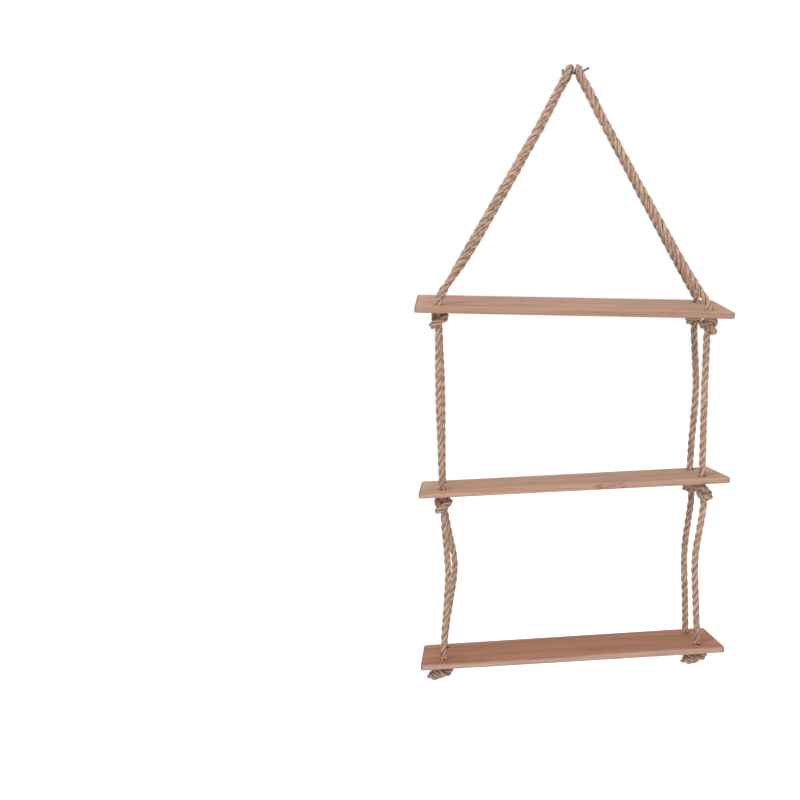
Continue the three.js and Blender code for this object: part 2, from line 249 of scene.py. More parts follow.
# jute: tan yarns of uneven tone with painted shade in the grooves between the strands, dry and rough; a
# pattern's three numbers are how fast it changes along the rope, round a strand and from strand to strand
jute = {
    "light": (0.75, 0.53, 0.395),
    "dark": (0.155, 0.092, 0.067),
    "rosy": (0.54, 0.28, 0.245),
    "olive": (0.36, 0.31, 0.22),
    # the colour of the painted shade deep in the grooves between the strands
    "grooveShade": (0.12, 0.072, 0.05),
    "fibres": (200, 1900, 40),
    "yarns": (105, 560, 3),
    "patches": (85, 170, 3),
    "moss": (52, 150, 7),
    "fibreShare": 0.42,
    "relief": 0.9,
    "reliefDepth": 0.0009,
    "roughness": 0.95,
    "gloss": 0.15,
}


def makeJute():
    material, tree, shader = newMaterial("jute")
    lay = stored(tree, "lay", "Vector")
    recessShade = stored(tree, "recessShade", "Fac")
    fibres = stretchedNoise(tree, lay, jute["fibres"], detail=6.0, roughness=0.75)
    yarns = stretchedNoise(tree, lay, jute["yarns"], detail=3.0, roughness=0.7)
    patches = stretchedNoise(tree, lay, jute["patches"], detail=2.0)
    moss = stretchedNoise(tree, lay, jute["moss"], detail=2.0)
    colour = mixColours(tree, ramp(tree, yarns, (0.42, 0.0), (0.57, 1.0)), jute["dark"], jute["light"])
    fine = ramp(tree, fibres, (0.36, jute["dark"]), (0.62, jute["light"]))
    colour = mixColours(tree, jute["fibreShare"], colour, fine)
    colour = mixColours(tree, ramp(tree, patches, (0.5, 0.0), (0.64, 0.6)), colour, jute["rosy"])
    colour = mixColours(tree, ramp(tree, moss, (0.52, 0.0), (0.66, 0.5)), colour, jute["olive"])
    # painted shade: the closer a point lies to the rope's axis, the more it takes the dark groove colour
    colour = mixColours(tree, ramp(tree, recessShade, (0.3, 1.0), (0.74, 0.0)), colour, jute["grooveShade"])
    tree.links.new(colour, shader.inputs["Base Color"])
    addBump(tree, shader, mixColours(tree, 0.5, fibres, yarns), jute["relief"], jute["reliefDepth"])
    shader.inputs["Roughness"].default_value = jute["roughness"]
    shader.inputs["Specular IOR Level"].default_value = jute["gloss"]
    return material


# timber: pinkish tan with streaks along each board, greyed at its ends, with painted shade round its holes
# and along its back edge;
# the front faces' tones are partly painted light and shade, and the bottom board's tones are darkened as
# painted shade;
# the middle board's front edge is knotty over one stretch
timber = {
    "top": {
        "face": (0.60, 0.36, 0.255),
        "dark": (0.45, 0.275, 0.185),
        "rosy": (0.62, 0.315, 0.26),
        # front and sawn: the front face's tones, partly the cut edge's own and partly painted light and
        # shade
        "front": (0.415, 0.26, 0.185),
        "sawn": (0.37, 0.185, 0.125),
        "from": (0, 0, 0),  # where in the wood the board was sawn out
    },
    "middle": {
        "face": (0.60, 0.36, 0.25),
        "dark": (0.45, 0.275, 0.18),
        "rosy": (0.62, 0.33, 0.26),
        "front": (0.47, 0.295, 0.22),
        "sawn": (0.42, 0.215, 0.155),
        "from": (1.7, 0.6, 0.2),
        "knotty": (0.026, 0.076),  # from the board's middle, towards the right
    },
    "bottom": {
        # darker and redder than the other boards' tones; the darkness is painted shade, as this face lies
        # under the two boards above
        "face": (0.50, 0.235, 0.14),
        "dark": (0.36, 0.165, 0.09),
        "rosy": (0.50, 0.215, 0.15),
        "front": (0.45, 0.30, 0.24),
        "sawn": (0.38, 0.20, 0.15),
        "from": (3.1, -0.8, 0.5),
    },
}
grain = {
    "flames": (5, 48, 240),  # how fast the pattern changes along the board, across it and through it
    "blush": (5, 17, 90),
    "fine": (8, 260, 520),
    "lines": (4, 60, 330),
    "pores": (55, 1500, 1500),
    "specks": (130, 90, 420),
    "smudge": (70, 70, 200),
    "relief": 0.25,
    "reliefDepth": 0.0003,
    "gloss": 0.16,
}
# the boards' wear and their painted shade
wearAndShade = {
    "frontReach": 0.0009,  # the front-face tone, partly the cut edge's own and partly painted light and shade, goes this far round the front edge
    "frontFade": 0.0006,
    # painted shade along the back edge and round the holes: how far it reaches, its share at the back, and
    # its darkness
    "backReach": 0.0016,
    "backShare": 0.4,
    "rimReach": 0.0012,
    "fade": 0.001,
    "rimShade": 0.42,
    "knotColour": (0.25, 0.10, 0.075),
    "knotFade": (0.004, 0.008),
    "endColour": (0.205, 0.165, 0.16),
    "endReach": (0.003, 0.0012),
    "cornerColour": (0.31, 0.235, 0.235),
    "cornerReach": (0.008, 0.003),
}


def woodColour(tree, finish, sawn, front, fine, pores):
    flames = stretchedNoise(tree, sawn, grain["flames"], detail=5.0)
    blush = stretchedNoise(tree, sawn, grain["blush"], detail=2.5)
    lines = stretchedNoise(tree, sawn, grain["lines"], detail=3.0)
    colour = mixColours(tree, ramp(tree, flames, (0.36, 0.0), (0.6, 1.0)), finish["dark"], finish["face"])
    colour = mixColours(tree, ramp(tree, blush, (0.5, 0.0), (0.66, 0.75)), colour, finish["rosy"])
    # the front face's tone: partly the cut edge's own, partly painted light and shade
    cut = mixColours(tree, ramp(tree, flames, (0.38, 0.9), (0.52, 0.0)), finish["front"], finish["sawn"])
    colour = mixColours(tree, front, colour, cut)
    colour = mixColours(tree, 1.0, colour, ramp(tree, lines, (0.34, 0.78), (0.42, 1.0)), "MULTIPLY")
    colour = mixColours(tree, 1.0, colour, ramp(tree, fine, (0.3, 0.86), (0.7, 1.1)), "MULTIPLY")
    return mixColours(tree, 1.0, colour, ramp(tree, pores, (0.28, 0.72), (0.42, 1.0)), "MULTIPLY")


# knots, greyed ends and corners, then painted shade along the back edge and round the holes
def wornAndShadedColour(tree, finish, place, sawn, front, colour):
    parts = addNode(tree, "ShaderNodeSeparateXYZ")
    tree.links.new(place, parts.inputs[0])
    along = parts.outputs["X"]
    if "knotty" in finish:
        start, stop = finish["knotty"]
        fadeIn, fadeOut = wearAndShade["knotFade"]
        specks = stretchedNoise(tree, sawn, grain["specks"], detail=3.0)
        rising = fade(tree, along, start, start + fadeIn)
        stretch = times(tree, rising, fade(tree, along, stop, stop - fadeOut))
        knots = times(tree, stretch, front, ramp(tree, specks, (0.42, 0.0), (0.6, 0.85)))
        colour = mixColours(tree, knots, colour, wearAndShade["knotColour"])
    half = board["length"] / 2
    away = addNode(tree, "ShaderNodeMath", operation="ABSOLUTE")
    tree.links.new(along, away.inputs[0])
    smudge = stretchedNoise(tree, sawn, grain["smudge"], detail=3.0)
    ends = times(tree, fade(tree, away.outputs[0], *(half - reach for reach in wearAndShade["endReach"])),
                 ramp(tree, smudge, (0.25, 0.5), (0.55, 1.0)))
    colour = mixColours(tree, ends, colour, wearAndShade["endColour"])
    corner = times(tree, front, fade(tree, along, *(half - reach for reach in wearAndShade["cornerReach"])))
    colour = mixColours(tree, corner, colour, wearAndShade["cornerColour"])
    # painted shade along the back edge and round the holes, a darker copy of the board's dark tone
    dark = tuple(wearAndShade["rimShade"] * part for part in finish["dark"])
    return mixColours(tree, stored(tree, "rimAndBackShade", "Fac"), colour, dark)


def makeTimber(tier):
    finish = timber[tier]
    material, tree, shader = newMaterial("timber_" + tier)
    place = stored(tree, "boardPlace", "Vector")
    front = stored(tree, "frontEdge", "Fac")
    moved = addNode(tree, "ShaderNodeVectorMath", operation="ADD")
    moved.inputs[1].default_value = finish["from"]
    tree.links.new(place, moved.inputs[0])
    sawn = moved.outputs["Vector"]
    fine = stretchedNoise(tree, sawn, grain["fine"], detail=6.0, roughness=0.62)
    pores = stretchedNoise(tree, sawn, grain["pores"], detail=2.0, roughness=0.4)
    colour = woodColour(tree, finish, sawn, front, fine, pores)
    colour = wornAndShadedColour(tree, finish, place, sawn, front, colour)
    tree.links.new(colour, shader.inputs["Base Color"])
    addBump(tree, shader, fine, grain["relief"], grain["reliefDepth"])
    tree.links.new(ramp(tree, pores, (0.3, 0.78), (0.7, 0.6)), shader.inputs["Roughness"])
    shader.inputs["Specular IOR Level"].default_value = grain["gloss"]
    return material


# steel: grey, with dull stains
steel = {"dark": (0.10, 0.095, 0.09), "bright": (0.24, 0.23, 0.225), "stains": (260, 260, 260)}


def makeSteel():
    material, tree, shader = newMaterial("steel")
    place = addNode(tree, "ShaderNodeTexCoord").outputs["Object"]
    stains = stretchedNoise(tree, place, steel["stains"])
    colour = mixColours(tree, ramp(tree, stains, (0.4, 0.0), (0.62, 1.0)), steel["dark"], steel["bright"])
    tree.links.new(colour, shader.inputs["Base Color"])
    tree.links.new(ramp(tree, stains, (0.35, 0.5), (0.65, 0.28)), shader.inputs["Roughness"])
    shader.inputs["Metallic"].default_value = 1
    return material


juteMaterial = makeJute()
steelMaterial = makeSteel()


# boards: rounded corners, eased edges and four bored holes with worn rims
def boreHoles(body, holes):
    drill = bmesh.new()
    half = board["thickness"] / 2
    inner = board["holeRadius"]
    outer = inner + board["rimWidth"]
    waist = half - board["rimDepth"]
    profile = [(0, half * 2), (outer, half * 2), (outer, half), (inner, waist)]
    profile += [(inner, -waist), (outer, -half), (outer, -half * 2), (0, -half * 2)]
    for x, y in holes:
        outline = [(x + radius, y, height - half) for radius, height in profile]
        spun(drill, outline, (x, y, 0), (0, 0, 1), board["holeFacets"])
    bmesh.ops.remove_doubles(drill, verts=drill.verts, dist=1e-6)
    bmesh.ops.recalc_face_normals(drill, faces=drill.faces)
    cutter = link(bpy.data.objects.new("drill", finished(drill, "drill")))
    cut = body.modifiers.new("holes", "BOOLEAN")
    cut.operation = "DIFFERENCE"
    cut.solver = "EXACT"
    cut.object = cutter
    body.data = applied(body)
    body.modifiers.clear()
    bpy.data.objects.remove(cutter)


def markWood(mesh, holes):
    # stored before the board is hung, so that the grain runs along it however it hangs
    places = placesOf(mesh)
    half = board["depth"] / 2
    front = np.clip((-half + wearAndShade["frontReach"] - places[:, 1]) / wearAndShade["frontFade"], 0, 1)
    behind = np.clip((places[:, 1] - half + wearAndShade["backReach"]) / wearAndShade["fade"], 0, 1)
    bored = np.zeros(len(places))
    for x, y in holes:
        away = np.hypot(places[:, 0] - x, places[:, 1] - y)
        rim = (board["holeRadius"] + wearAndShade["rimReach"] - away) / wearAndShade["fade"]
        bored = np.maximum(bored, np.clip(rim, 0, 1))
    store(mesh, "boardPlace", places)
    store(mesh, "frontEdge", front)
    # where painted shade falls: along the back edge and round the holes
    store(mesh, "rimAndBackShade", np.maximum(behind * wearAndShade["backShare"], bored))


def makeBoard(tier):
    length, depth, thickness = board["length"], board["depth"], board["thickness"]
    shape = bmesh.new()
    bmesh.ops.create_cube(shape, size=1)
    bmesh.ops.scale(shape, vec=(length, depth, thickness), verts=shape.verts)
    bmesh.ops.translate(shape, vec=(0, 0, -thickness / 2), verts=shape.verts)
    upright = [edge for edge in shape.edges if abs(edge.verts[0].co.z - edge.verts[1].co.z) > thickness / 2]
    eased(shape, upright, board["cornerRadius"], board["cornerSteps"])
    shape.normal_update()
    rims = [edge for edge in shape.edges if edge.is_manifold and edge.calc_face_angle() > 1]
    eased(shape, rims, board["edgeEase"], board["edgeSteps"])
    body = link(bpy.data.objects.new("board_piece_" + tier, finished(shape, "board_piece_" + tier)))
    holes = [holeOf(tier, corner) for corner in corners]
    boreHoles(body, holes)
    markWood(body.data, holes)
    body.data.transform(tiers[tier])
    shadeSmooth(body, board["smoothBelow"])
    body.data.materials.append(makeTimber(tier))
    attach(body, tier + "_tier")
    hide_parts("board_" + tier)


for tier in tiers:
    makeBoard(tier)
print("boards made")


# overhand knots: a loose one is drawn tight, worked out in rope diameters as for the solid
knot = {
    "height": 2.8,  # from the board down to the foot of the knot
    "rope": 16,  # length of rope that is tied
    "tailRope": 12,
    "tailRise": 0.8,  # a tail is drawn out sideways and up
    "turnGap": 0.86,  # turns that lie on each other press in
    "pointGap": 0.3,
    "wide": 0.42,
    "tall": 0.16,
    "reach": 2.15,
    "curvePoints": 800,
    "pull": 0.03,
    "toAxis": 0.8,
    "bend": 0.12,
    "thinStart": 0.35,  # the rope swells to its full thickness while it is drawn tight
    "push": 0.75,
    "tightening": 300,
    "settling": 120,
    "easing": 6,
}
rope = {
    "diameter": 0.010,
    "layLength": 0.038,  # one full turn of a strand
    "strandCentre": 0.0026,
    "strandRadius": 0.00245,
    "yarns": 7,
    "yarnPoints": 4,
    "yarnBulge": 0.16,
    "yarnTurn": 0.030,
    "step": 0.0014,
    "turnDrift": 0.13,
    "spreadDrift": 0.02,
    "thicknessDrift": 0.025,
    "driftEasing": 60,
    "steadyEnd": 0.02,  # the drift dies away over this length, so that one piece runs on into the next
    "frayLength": 0.011,
    "fray": 0.0012,
}
fuzz = {
    "perMetre": 620,
    "thickness": 0.00007,
    "length": 0.0052,
    "longer": (0.4, 1.6),  # share of that length
    "ahead": (0.4, 1.5),
    "outward": (0.15, 0.9),
    "sideways": 0.5,
    "clearEnds": 9,  # steps of the rope with none at each end, where it leans in its hole
    "curl": 0.3,
    "root": 0.44,  # share of the rope's diameter
    "recessShade": 0.95,  # high, so that no fibre gets the painted shade of the grooves
    "shape": ((0, 1), (0.35, 0.95), (0.7, 0.75), (1, 0.35)),  # share of the length, and thickness there
    "brushCount": 90,
    "brushRoot": 0.42,
    "brushSunk": 0.001,
    "brushSpread": 0.7,
    "brushWild": 0.18,
    "brushLength": (0.003, 0.0085),
}
run = {
    "knotGap": 0.0003,  # between the board's underside and the knot
    "startsBelow": 0.0032,  # how deep in a hole a knot's rope starts
    "turnsBelow": 0.0055,  # from the foot of a knot to the point where its leg turns
    "straightFrom": 0.0065,  # height over the next board where a leg turns into its hole
    "points": 90,
    "easing": 30,
}
seat = -board["thickness"] - run["knotGap"]
turningDrop = seat - knot["height"] * rope["diameter"] - run["turnsBelow"]
strandPoints = rope["yarns"] * rope["yarnPoints"]


def lengthAlong(points):
    step = np.linalg.norm(np.diff(points, axis=0), axis=1)
    return np.concatenate([[0], np.cumsum(step)])


def evenly(points, count):
    along = lengthAlong(points)
    want = np.linspace(0, along[-1], count)
    return np.stack([np.interp(want, along, points[:, axis]) for axis in range(3)], 1)


def smoothed(points, rounds):
    points = points.copy()
    for _ in range(rounds):
        points[1:-1] = (points[:-2] + points[1:-1] * 2 + points[2:]) / 4
    return points


def pushApart(points, first, second, thickness):
    # turns of the rope that have come too close make room for each other
    apart = points[second] - points[first]
    distance = np.linalg.norm(apart, axis=1)
    hit = distance < thickness
    push = apart[hit] * ((thickness - distance[hit]) / distance[hit])[:, None]
    move = np.zeros_like(points)
    hits = np.zeros(len(points))
    for index, way in ((first, -push), (second, push)):
        np.add.at(move, index[hit], way)
        np.add.at(hits, index[hit], 1)
    points += move * (knot["push"] / np.maximum(hits, 1))[:, None]


def keepLength(points, gap):
    # rope doesn't stretch, so neighbouring points go back to their distance
    for start in (0, 1):
        low = np.arange(start, len(points) - 1, 2)
        step = points[low + 1] - points[low]
        step *= ((1 - gap / np.linalg.norm(step, axis=1)) / 2)[:, None]
        points[low] += step
        points[low + 1] -= step


def tieKnot(turn, hasTail):
    t = np.linspace(-knot["reach"], knot["reach"], knot["curvePoints"])
    x = (t**3 - 3 * t) * knot["wide"]
    y = (t**4 - 4 * t**2 + 2) * knot["wide"]
    z = (10 * t - t**5) * knot["tall"]
    cos, sin = math.cos(turn), math.sin(turn)
    points = np.stack([x * cos - y * sin, x * sin + y * cos, z], 1)
    length = knot["tailRope"] if hasTail else knot["rope"]
    count = int(length / knot["pointGap"]) + 1
    was = lengthAlong(points)[-1]
    points = evenly(points, count) * (length / was)
    gap = length / (count - 1)
    first, second = np.triu_indices(count, math.ceil((1 + knot["pointGap"]) / gap))
    leaving = np.array((-1, 0, knot["tailRise"])) if hasTail else np.array((0, 0, -1))
    leaving = leaving / np.linalg.norm(leaving)
    for number in range(knot["tightening"] + knot["settling"]):
        swelling = (1 - knot["thinStart"]) * min(1, number / knot["tightening"])
        thickness = knot["turnGap"] * (knot["thinStart"] + swelling)
        points[0, 2] += knot["pull"]
        points[-1] += leaving * knot["pull"]
        points[:3, :2] *= knot["toAxis"]
        if not hasTail:
            points[-3:, :2] *= knot["toAxis"]
        for _ in range(knot["easing"]):
            points[1:-1] += knot["bend"] * ((points[:-2] + points[2:]) / 2 - points[1:-1])
            pushApart(points, first, second, thickness)
            keepLength(points, gap)
    return points


def seatKnot(points, hasTail):
    # the knot's highest turn bears on the board and both of its ends stand on the hole's axis
    count = len(points)
    apart = math.ceil(2 / knot["pointGap"])
    index = np.arange(count)
    touching = np.linalg.norm(points[:, None] - points[None], axis=2) < 1
    over = (touching & (index[None] < index[:, None] - apart)).any(1)
    under = (touching & (index[None] >= index[:, None] + apart)).any(1)
    top = points[over, 2].max()
    bottom = points[under, 2].min()
    first = int(np.argmax(points[:, 2] <= top))
    last = count - 1 if hasTail else int(np.nonzero(points[:, 2] >= bottom)[0][-1])
    entry = points[first, :2]
    leave = entry if hasTail else points[last, :2]
    sunk = np.clip((top - points[:, 2]) / (top - bottom), 0, 1)[:, None]
    route = points.copy()
    route[:, :2] -= entry * (1 - sunk) + leave * sunk
    route[:, 2] -= top
    route = route[first:last + 1] * rope["diameter"]
    route[:, 2] += seat - rope["diameter"] / 2
    return route


def framesAlong(points, side):
    tangent = np.gradient(points, axis=0)
    tangent /= np.linalg.norm(tangent, axis=1)[:, None]
    normal = np.zeros_like(points)
    for index, direction in enumerate(tangent):
        side = side - direction * side.dot(direction)
        side = side / np.linalg.norm(side)
        normal[index] = side
    return tangent, normal, np.cross(tangent, normal)


def newCurve(name):
    curve = bpy.data.curves.new(name, "CURVE")
    curve.dimensions = "3D"
    return curve


def addPoly(curve, points, **values):
    spline = curve.splines.new("POLY")
    spline.points.add(len(points) - 1)
    spline.points.foreach_set("co", np.concatenate([points, np.ones((len(points), 1))], 1).ravel())
    for key, value in values.items():
        spline.points.foreach_set(key, value)
    return spline


def meshOf(curve):
    maker = link(bpy.data.objects.new(curve.name, curve))
    mesh = applied(maker)
    bpy.data.objects.remove(maker)
    return mesh


def strandSection():
    curve = bpy.data.curves.new("strandSection", "CURVE")
    curve.dimensions = "2D"
    angle = math.tau * np.arange(strandPoints) / strandPoints
    bulge = 1 - rope["yarnBulge"] + rope["yarnBulge"] * np.abs(np.cos(angle * rope["yarns"] / 2))
    radius = rope["strandRadius"] * bulge
    outline = np.stack([radius * np.cos(angle), radius * np.sin(angle), np.zeros(strandPoints)], 1)
    addPoly(curve, outline).use_cyclic_u = True
    return link(bpy.data.objects.new("strandSection", curve))


section = strandSection()


def drift(count, reach):
    # slow uneven wandering along the rope, since no laid rope is regular
    margin = 20
    wander = smoothed(chance.normal(size=count + 2 * margin), rope["driftEasing"])[margin:-margin]
    return reach * (wander - wander.mean()) / max(wander.std(), 1e-6)


def markFibre(mesh, lay, recessShade):
    store(mesh, "recessShade", recessShade.ravel())
    store(mesh, "lay", lay.reshape(-1, 3))


def makeFuzz(name, points, frames, brushCount):
    # loose fibre ends that stand off the rope, and a brush of them where a tail is cut
    tangent, normal, binormal = frames
    count = int(lengthAlong(points)[-1] * fuzz["perMetre"])
    clear = fuzz["clearEnds"]
    place = chance.integers(clear, len(points) - clear + 1, count)
    turn = chance.uniform(0, math.tau, count)[:, None]
    out = np.cos(turn) * normal[place] + np.sin(turn) * binormal[place]
    around = np.cross(tangent[place], out)
    ahead = chance.choice((-1.0, 1.0), count)[:, None] * chance.uniform(*fuzz["ahead"], (count, 1))
    way = tangent[place] * ahead + out * chance.uniform(*fuzz["outward"], (count, 1))
    way += around * chance.normal(0, fuzz["sideways"], (count, 1))
    root = points[place] + out * rope["diameter"] * fuzz["root"]
    length = fuzz["length"] * chance.uniform(*fuzz["longer"], (count, 1))
    if brushCount:
        turn = chance.uniform(0, math.tau, brushCount)[:, None]
        out = np.cos(turn) * normal[-1] + np.sin(turn) * binormal[-1]
        spread = np.sqrt(chance.uniform(0, 1, (brushCount, 1)))
        start = points[-1] + out * spread * rope["diameter"] * fuzz["brushRoot"]
        root = np.concatenate([root, start - tangent[-1] * fuzz["brushSunk"]])
        wild = chance.normal(0, fuzz["brushWild"], (brushCount, 3))
        way = np.concatenate([way, tangent[-1] + out * spread * fuzz["brushSpread"] + wild])
        length = np.concatenate([length, chance.uniform(*fuzz["brushLength"], (brushCount, 1))])
    way = way / np.linalg.norm(way, axis=1)[:, None] * length
    curl = chance.normal(0, fuzz["curl"], way.shape) * length
    curve = newCurve(name + "_fuzz")
    curve.bevel_depth = fuzz["thickness"]
    curve.bevel_resolution = 0
    shares, thin = zip(*fuzz["shape"])
    for first, step, bend in zip(root, way, curl):
        addPoly(curve, np.array([first + step * share + bend * share**2 for share in shares]), radius=thin)
    mesh = meshOf(curve)
    total = len(mesh.vertices)
    fibrePoints = 4 * len(shares)  # four round each place along a fibre
    lay = np.repeat(chance.uniform(0, 1, (total // fibrePoints, 3)), fibrePoints, axis=0)
    markFibre(mesh, np.resize(lay, (total, 3)), np.full(total, fuzz["recessShade"]))
    return link(bpy.data.objects.new(name + "_fuzz", mesh), juteMaterial)


def markStrands(mesh, points, centres, along, held):
    # each point of a strand learns how far along the rope it is, its place round the strand and its depth,
    # which sets its painted shade
    places = placesOf(mesh).reshape(-1, strandPoints, 3)
    nearest = np.array([np.argmin(((centres - middle) ** 2).sum(1)) for middle in places.mean(1)])
    strand, place = nearest // len(points), nearest % len(points)
    radial = np.linalg.norm(places - points[place][:, None], axis=2)
    # the depth towards the rope's axis, for the painted shade in the grooves
    recessShade = np.clip(radial / (rope["strandCentre"] + rope["strandRadius"]), 0, 1)
    lay = np.zeros(places.shape)
    lay[..., 0] = held["along"] + along[place][:, None]
    lay[..., 1] = np.arange(strandPoints) / strandPoints * math.tau * rope["strandRadius"]
    lay[..., 2] = strand[:, None] + held["lot"]
    markFibre(mesh, lay, recessShade)


def layRope(name, route, held, fray=0.0):
    # three strands laid round the route, each a bundle of yarns; held is how the length before left off
    count = max(8, int(lengthAlong(route)[-1] / rope["step"]) + 1)
    points = smoothed(evenly(route, count), 3)
    frames = framesAlong(points, np.array(held["side"], float))
    _, normal, binormal = frames
    along = lengthAlong(points)
    opening = np.clip(1 - (along[-1] - along) / rope["frayLength"], 0, 1) ** 2 * fray
    steady = np.clip(np.minimum(along, along[-1] - along) / rope["steadyEnd"], 0, 1)
    laid = held["phase"] + math.tau * along / rope["layLength"]
    turning = laid + drift(count, rope["turnDrift"]) * steady
    tilt = math.tau * (along + held["along"]) / rope["yarnTurn"]
    curve = newCurve(name)
    curve.bevel_mode = "OBJECT"
    curve.bevel_object = section
    curve.use_fill_caps = True
    curve.twist_mode = "MINIMUM"
    centres = []
    for strand in range(3):
        angle = turning + math.tau * strand / 3
        spread = 1 + drift(count, rope["spreadDrift"]) * steady
        away = (rope["strandCentre"] * spread + opening)[:, None]
        out = np.cos(angle)[:, None] * normal + np.sin(angle)[:, None] * binormal
        centres.append(points + away * out)
        addPoly(curve, centres[-1], tilt=tilt, radius=1 + drift(count, rope["thicknessDrift"]) * steady)
    mesh = meshOf(curve)
    markStrands(mesh, points, np.concatenate(centres), along, held)
    piece = link(bpy.data.objects.new(name, mesh), juteMaterial)
    loose = makeFuzz(name, points, frames, fuzz["brushCount"] if fray else 0)
    with bpy.context.temp_override(active_object=piece, selected_editable_objects=[piece, loose]):
        bpy.ops.object.join()
    shadeSmooth(piece)
    onward = held | {"side": normal[-1], "phase": laid[-1], "along": held["along"] + along[-1]}
    backward = held | {"side": normal[0], "phase": -held["phase"]}
    return piece, onward, backward


# each knot's turn about its hole, in degrees, and each leg's sideways bow
knotTurns = {
    "top": {"front_left": 195, "back_left": 330, "front_right": 60, "back_right": 150},
    "middle": {"front_left": 225, "back_left": 30, "front_right": 345, "back_right": 120},
    "bottom": {"front_left": 240, "back_left": 242, "front_right": 235, "back_right": 238},
}
bows = {
    "upper": {"front_left": -0.0015, "back_left": 0.002, "front_right": -0.0005, "back_right": 0.0055},
    "lower": {"front_left": 0.0065, "back_left": 0.016, "front_right": -0.0085, "back_right": -0.007},
}
bowShape = ((0, 0.12, 0.24, 0.37, 0.5, 0.64, 0.78, 0.91, 1), (0, 0.3, 0.66, 1, 0.9, 0.62, 0.32, 0.1, 0))


def legRoute(top, tier, corner, bow):
    # it turns into the lower hole just above the board and ends at the hole's mouth
    share = np.linspace(0, 1, run["points"])
    line = top + (atHole(tier, corner, run["straightFrom"]) - top) * share[:, None]
    line[:, 0] += bow * np.interp(share, *bowShape)
    return np.concatenate([smoothed(line, run["easing"]), atHole(tier, corner, 0)[None]])


plumbKnot = tieKnot(0, False)  # the shape of every knot that has a leg below it


def knotRoute(tier, corner):
    turn = math.radians(knotTurns[tier][corner])
    foot = []
    if tier == "bottom":
        route = seatKnot(tieKnot(turn, True), True)
    else:
        cos, sin = math.cos(turn), math.sin(turn)
        route = seatKnot(plumbKnot @ np.array(((cos, sin, 0), (-sin, cos, 0), (0, 0, 1))), False)
        foot = [(0, 0, seat - knot["height"] * rope["diameter"])]
    x, y = holeOf(tier, corner)
    route = [(0, 0, -run["startsBelow"]), (0, 0, seat), *route, *foot]
    return np.array([tiers[tier] @ Vector((x + px, y + py, pz)) for px, py, pz in route])


# the slings: each rope comes up from two holes and its bight goes over the hook
hook = {
    "rodRadius": 0.0015,
    "cradleRadius": 0.030,
    "gap": 0.0005,
    "tipAngle": 28,
    "cornerAngle": 27,
    "tipLength": 0.007,
    "cornerReach": 0.003,
    "armRise": 0.003,
    "armLean": 0.0088,
    "armLead": 0.008,
    "wallGap": 0.001,  # the rod ends inside the collar
    "cradleSteps": 16,
    "points": 260,
    "easing": 20,
    "tipSteps": 4,
    "tipFlat": 0.15,
    "collarRadius": 0.0045,
    "collarThickness": 0.002,
    "collarEase": 0.0006,
    "collarBack": 0.0004,
    "screwRadius": 0.002,
    "screwLength": 0.022,
    "screwPoint": 0.006,
    "coreShare": 0.78,
    "threadPitch": 0.0018,
    "threadStart": 0.0006,
    "threadHalf": 0.0005,
    "threadRoot": 0.9,
    "threadEnd": 0.35,
    "threadSteps": 24,
    "facets": 40,
    "smoothBelow": 40,
}
cradleCentre = np.array(joints["swing_sideways"])
rodReach = hook["rodRadius"] + hook["gap"] + rope["diameter"] / 2
sling = {
    "phase": 0.4,
    "lots": 50,
    "points": 900,
    "easing": 24,
    "arcSteps": 12,
    "bightGap": 0.00015,
    "skew": {"left": 0.0036, "right": 0.0008},
    "bow": {  # low, then high
        "front_left": (-0.001, 0.002),
        "back_left": (0.009, 0.0045),
        "front_right": (-0.004, -0.003),
        "back_right": (-0.0015, -0.001),
    },
    "upright": (-0.0028, 0.0013, 0.0045),  # heights over the board
    "turnsAt": 0.0063,
    "foot": ((0.004, 0), (0.012, 0.3)),  # how far past the turn, and share of the low bow there
    "span": ((0.86, 0.9, 0), (0.75, 1, 0), (0.5, 0.54, 0.54), (0.25, 0, 1), (0.16, 0, 0.62)),
    "head": (0.030, 0.008),  # how far below the rod
}


def cradlePoint(angle):
    return cradleCentre + hook["cradleRadius"] * np.array((math.sin(angle), 0, -math.cos(angle)))


def overRod(side, turn):
    # turn goes from a bight's front, at 0, over the rod to its back; the front lies further out
    out = rope["diameter"] / 2 + sling["bightGap"] + sling["skew"][side] * max(0, math.cos(turn))
    reach = hook["cradleRadius"] - rodReach * math.sin(turn)
    angle = math.asin(out / reach) * (-1 if side == "left" else 1)
    place = (math.sin(angle) * reach, -rodReach * math.cos(turn), -math.cos(angle) * reach)
    return cradleCentre + np.array(place)


def slingHalf(corner, start):
    # from the hole up to the rod; span gives the share of the way down, then of the low and high bow
    rise = atHole("top", corner, sling["turnsAt"])
    hang = (start - rise) / np.linalg.norm(start - rise)
    low, high = (np.array((bow, 0, 0)) for bow in sling["bow"][corner])
    half = [atHole("top", corner, height) for height in sling["upright"]]
    half += [rise + hang * past + low * share for past, share in sling["foot"]]
    for down, lower, upper in sling["span"]:
        half.append(start + (rise - start) * down + (low * lower + high * upper))
    return half + [start - hang * drop for drop in sling["head"]]


def slingRoute(side):
    back = slingHalf("back_" + side, overRod(side, math.pi))
    front = slingHalf("front_" + side, overRod(side, 0))
    steps = sling["arcSteps"]
    arc = [overRod(side, math.pi * (1 - step / steps)) for step in range(steps + 1)]
    return np.array(back + arc + front[::-1])


footEnds = {}


def makeSling(side):
    start = {"side": (1, 0, 0), "phase": sling["phase"], "along": 0, "lot": chance.random() * sling["lots"]}
    route = smoothed(evenly(slingRoute(side), sling["points"]), sling["easing"])
    piece, front, back = layRope("sling_rope_" + side, route, start)
    footEnds["top_front_" + side] = front
    footEnds["top_back_" + side] = back
    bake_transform(piece)
    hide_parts("rope_bight_" + side, "sling_leg_front_" + side, "sling_leg_back_" + side)


for side in ("left", "right"):
    makeSling(side)
print("slings laid")


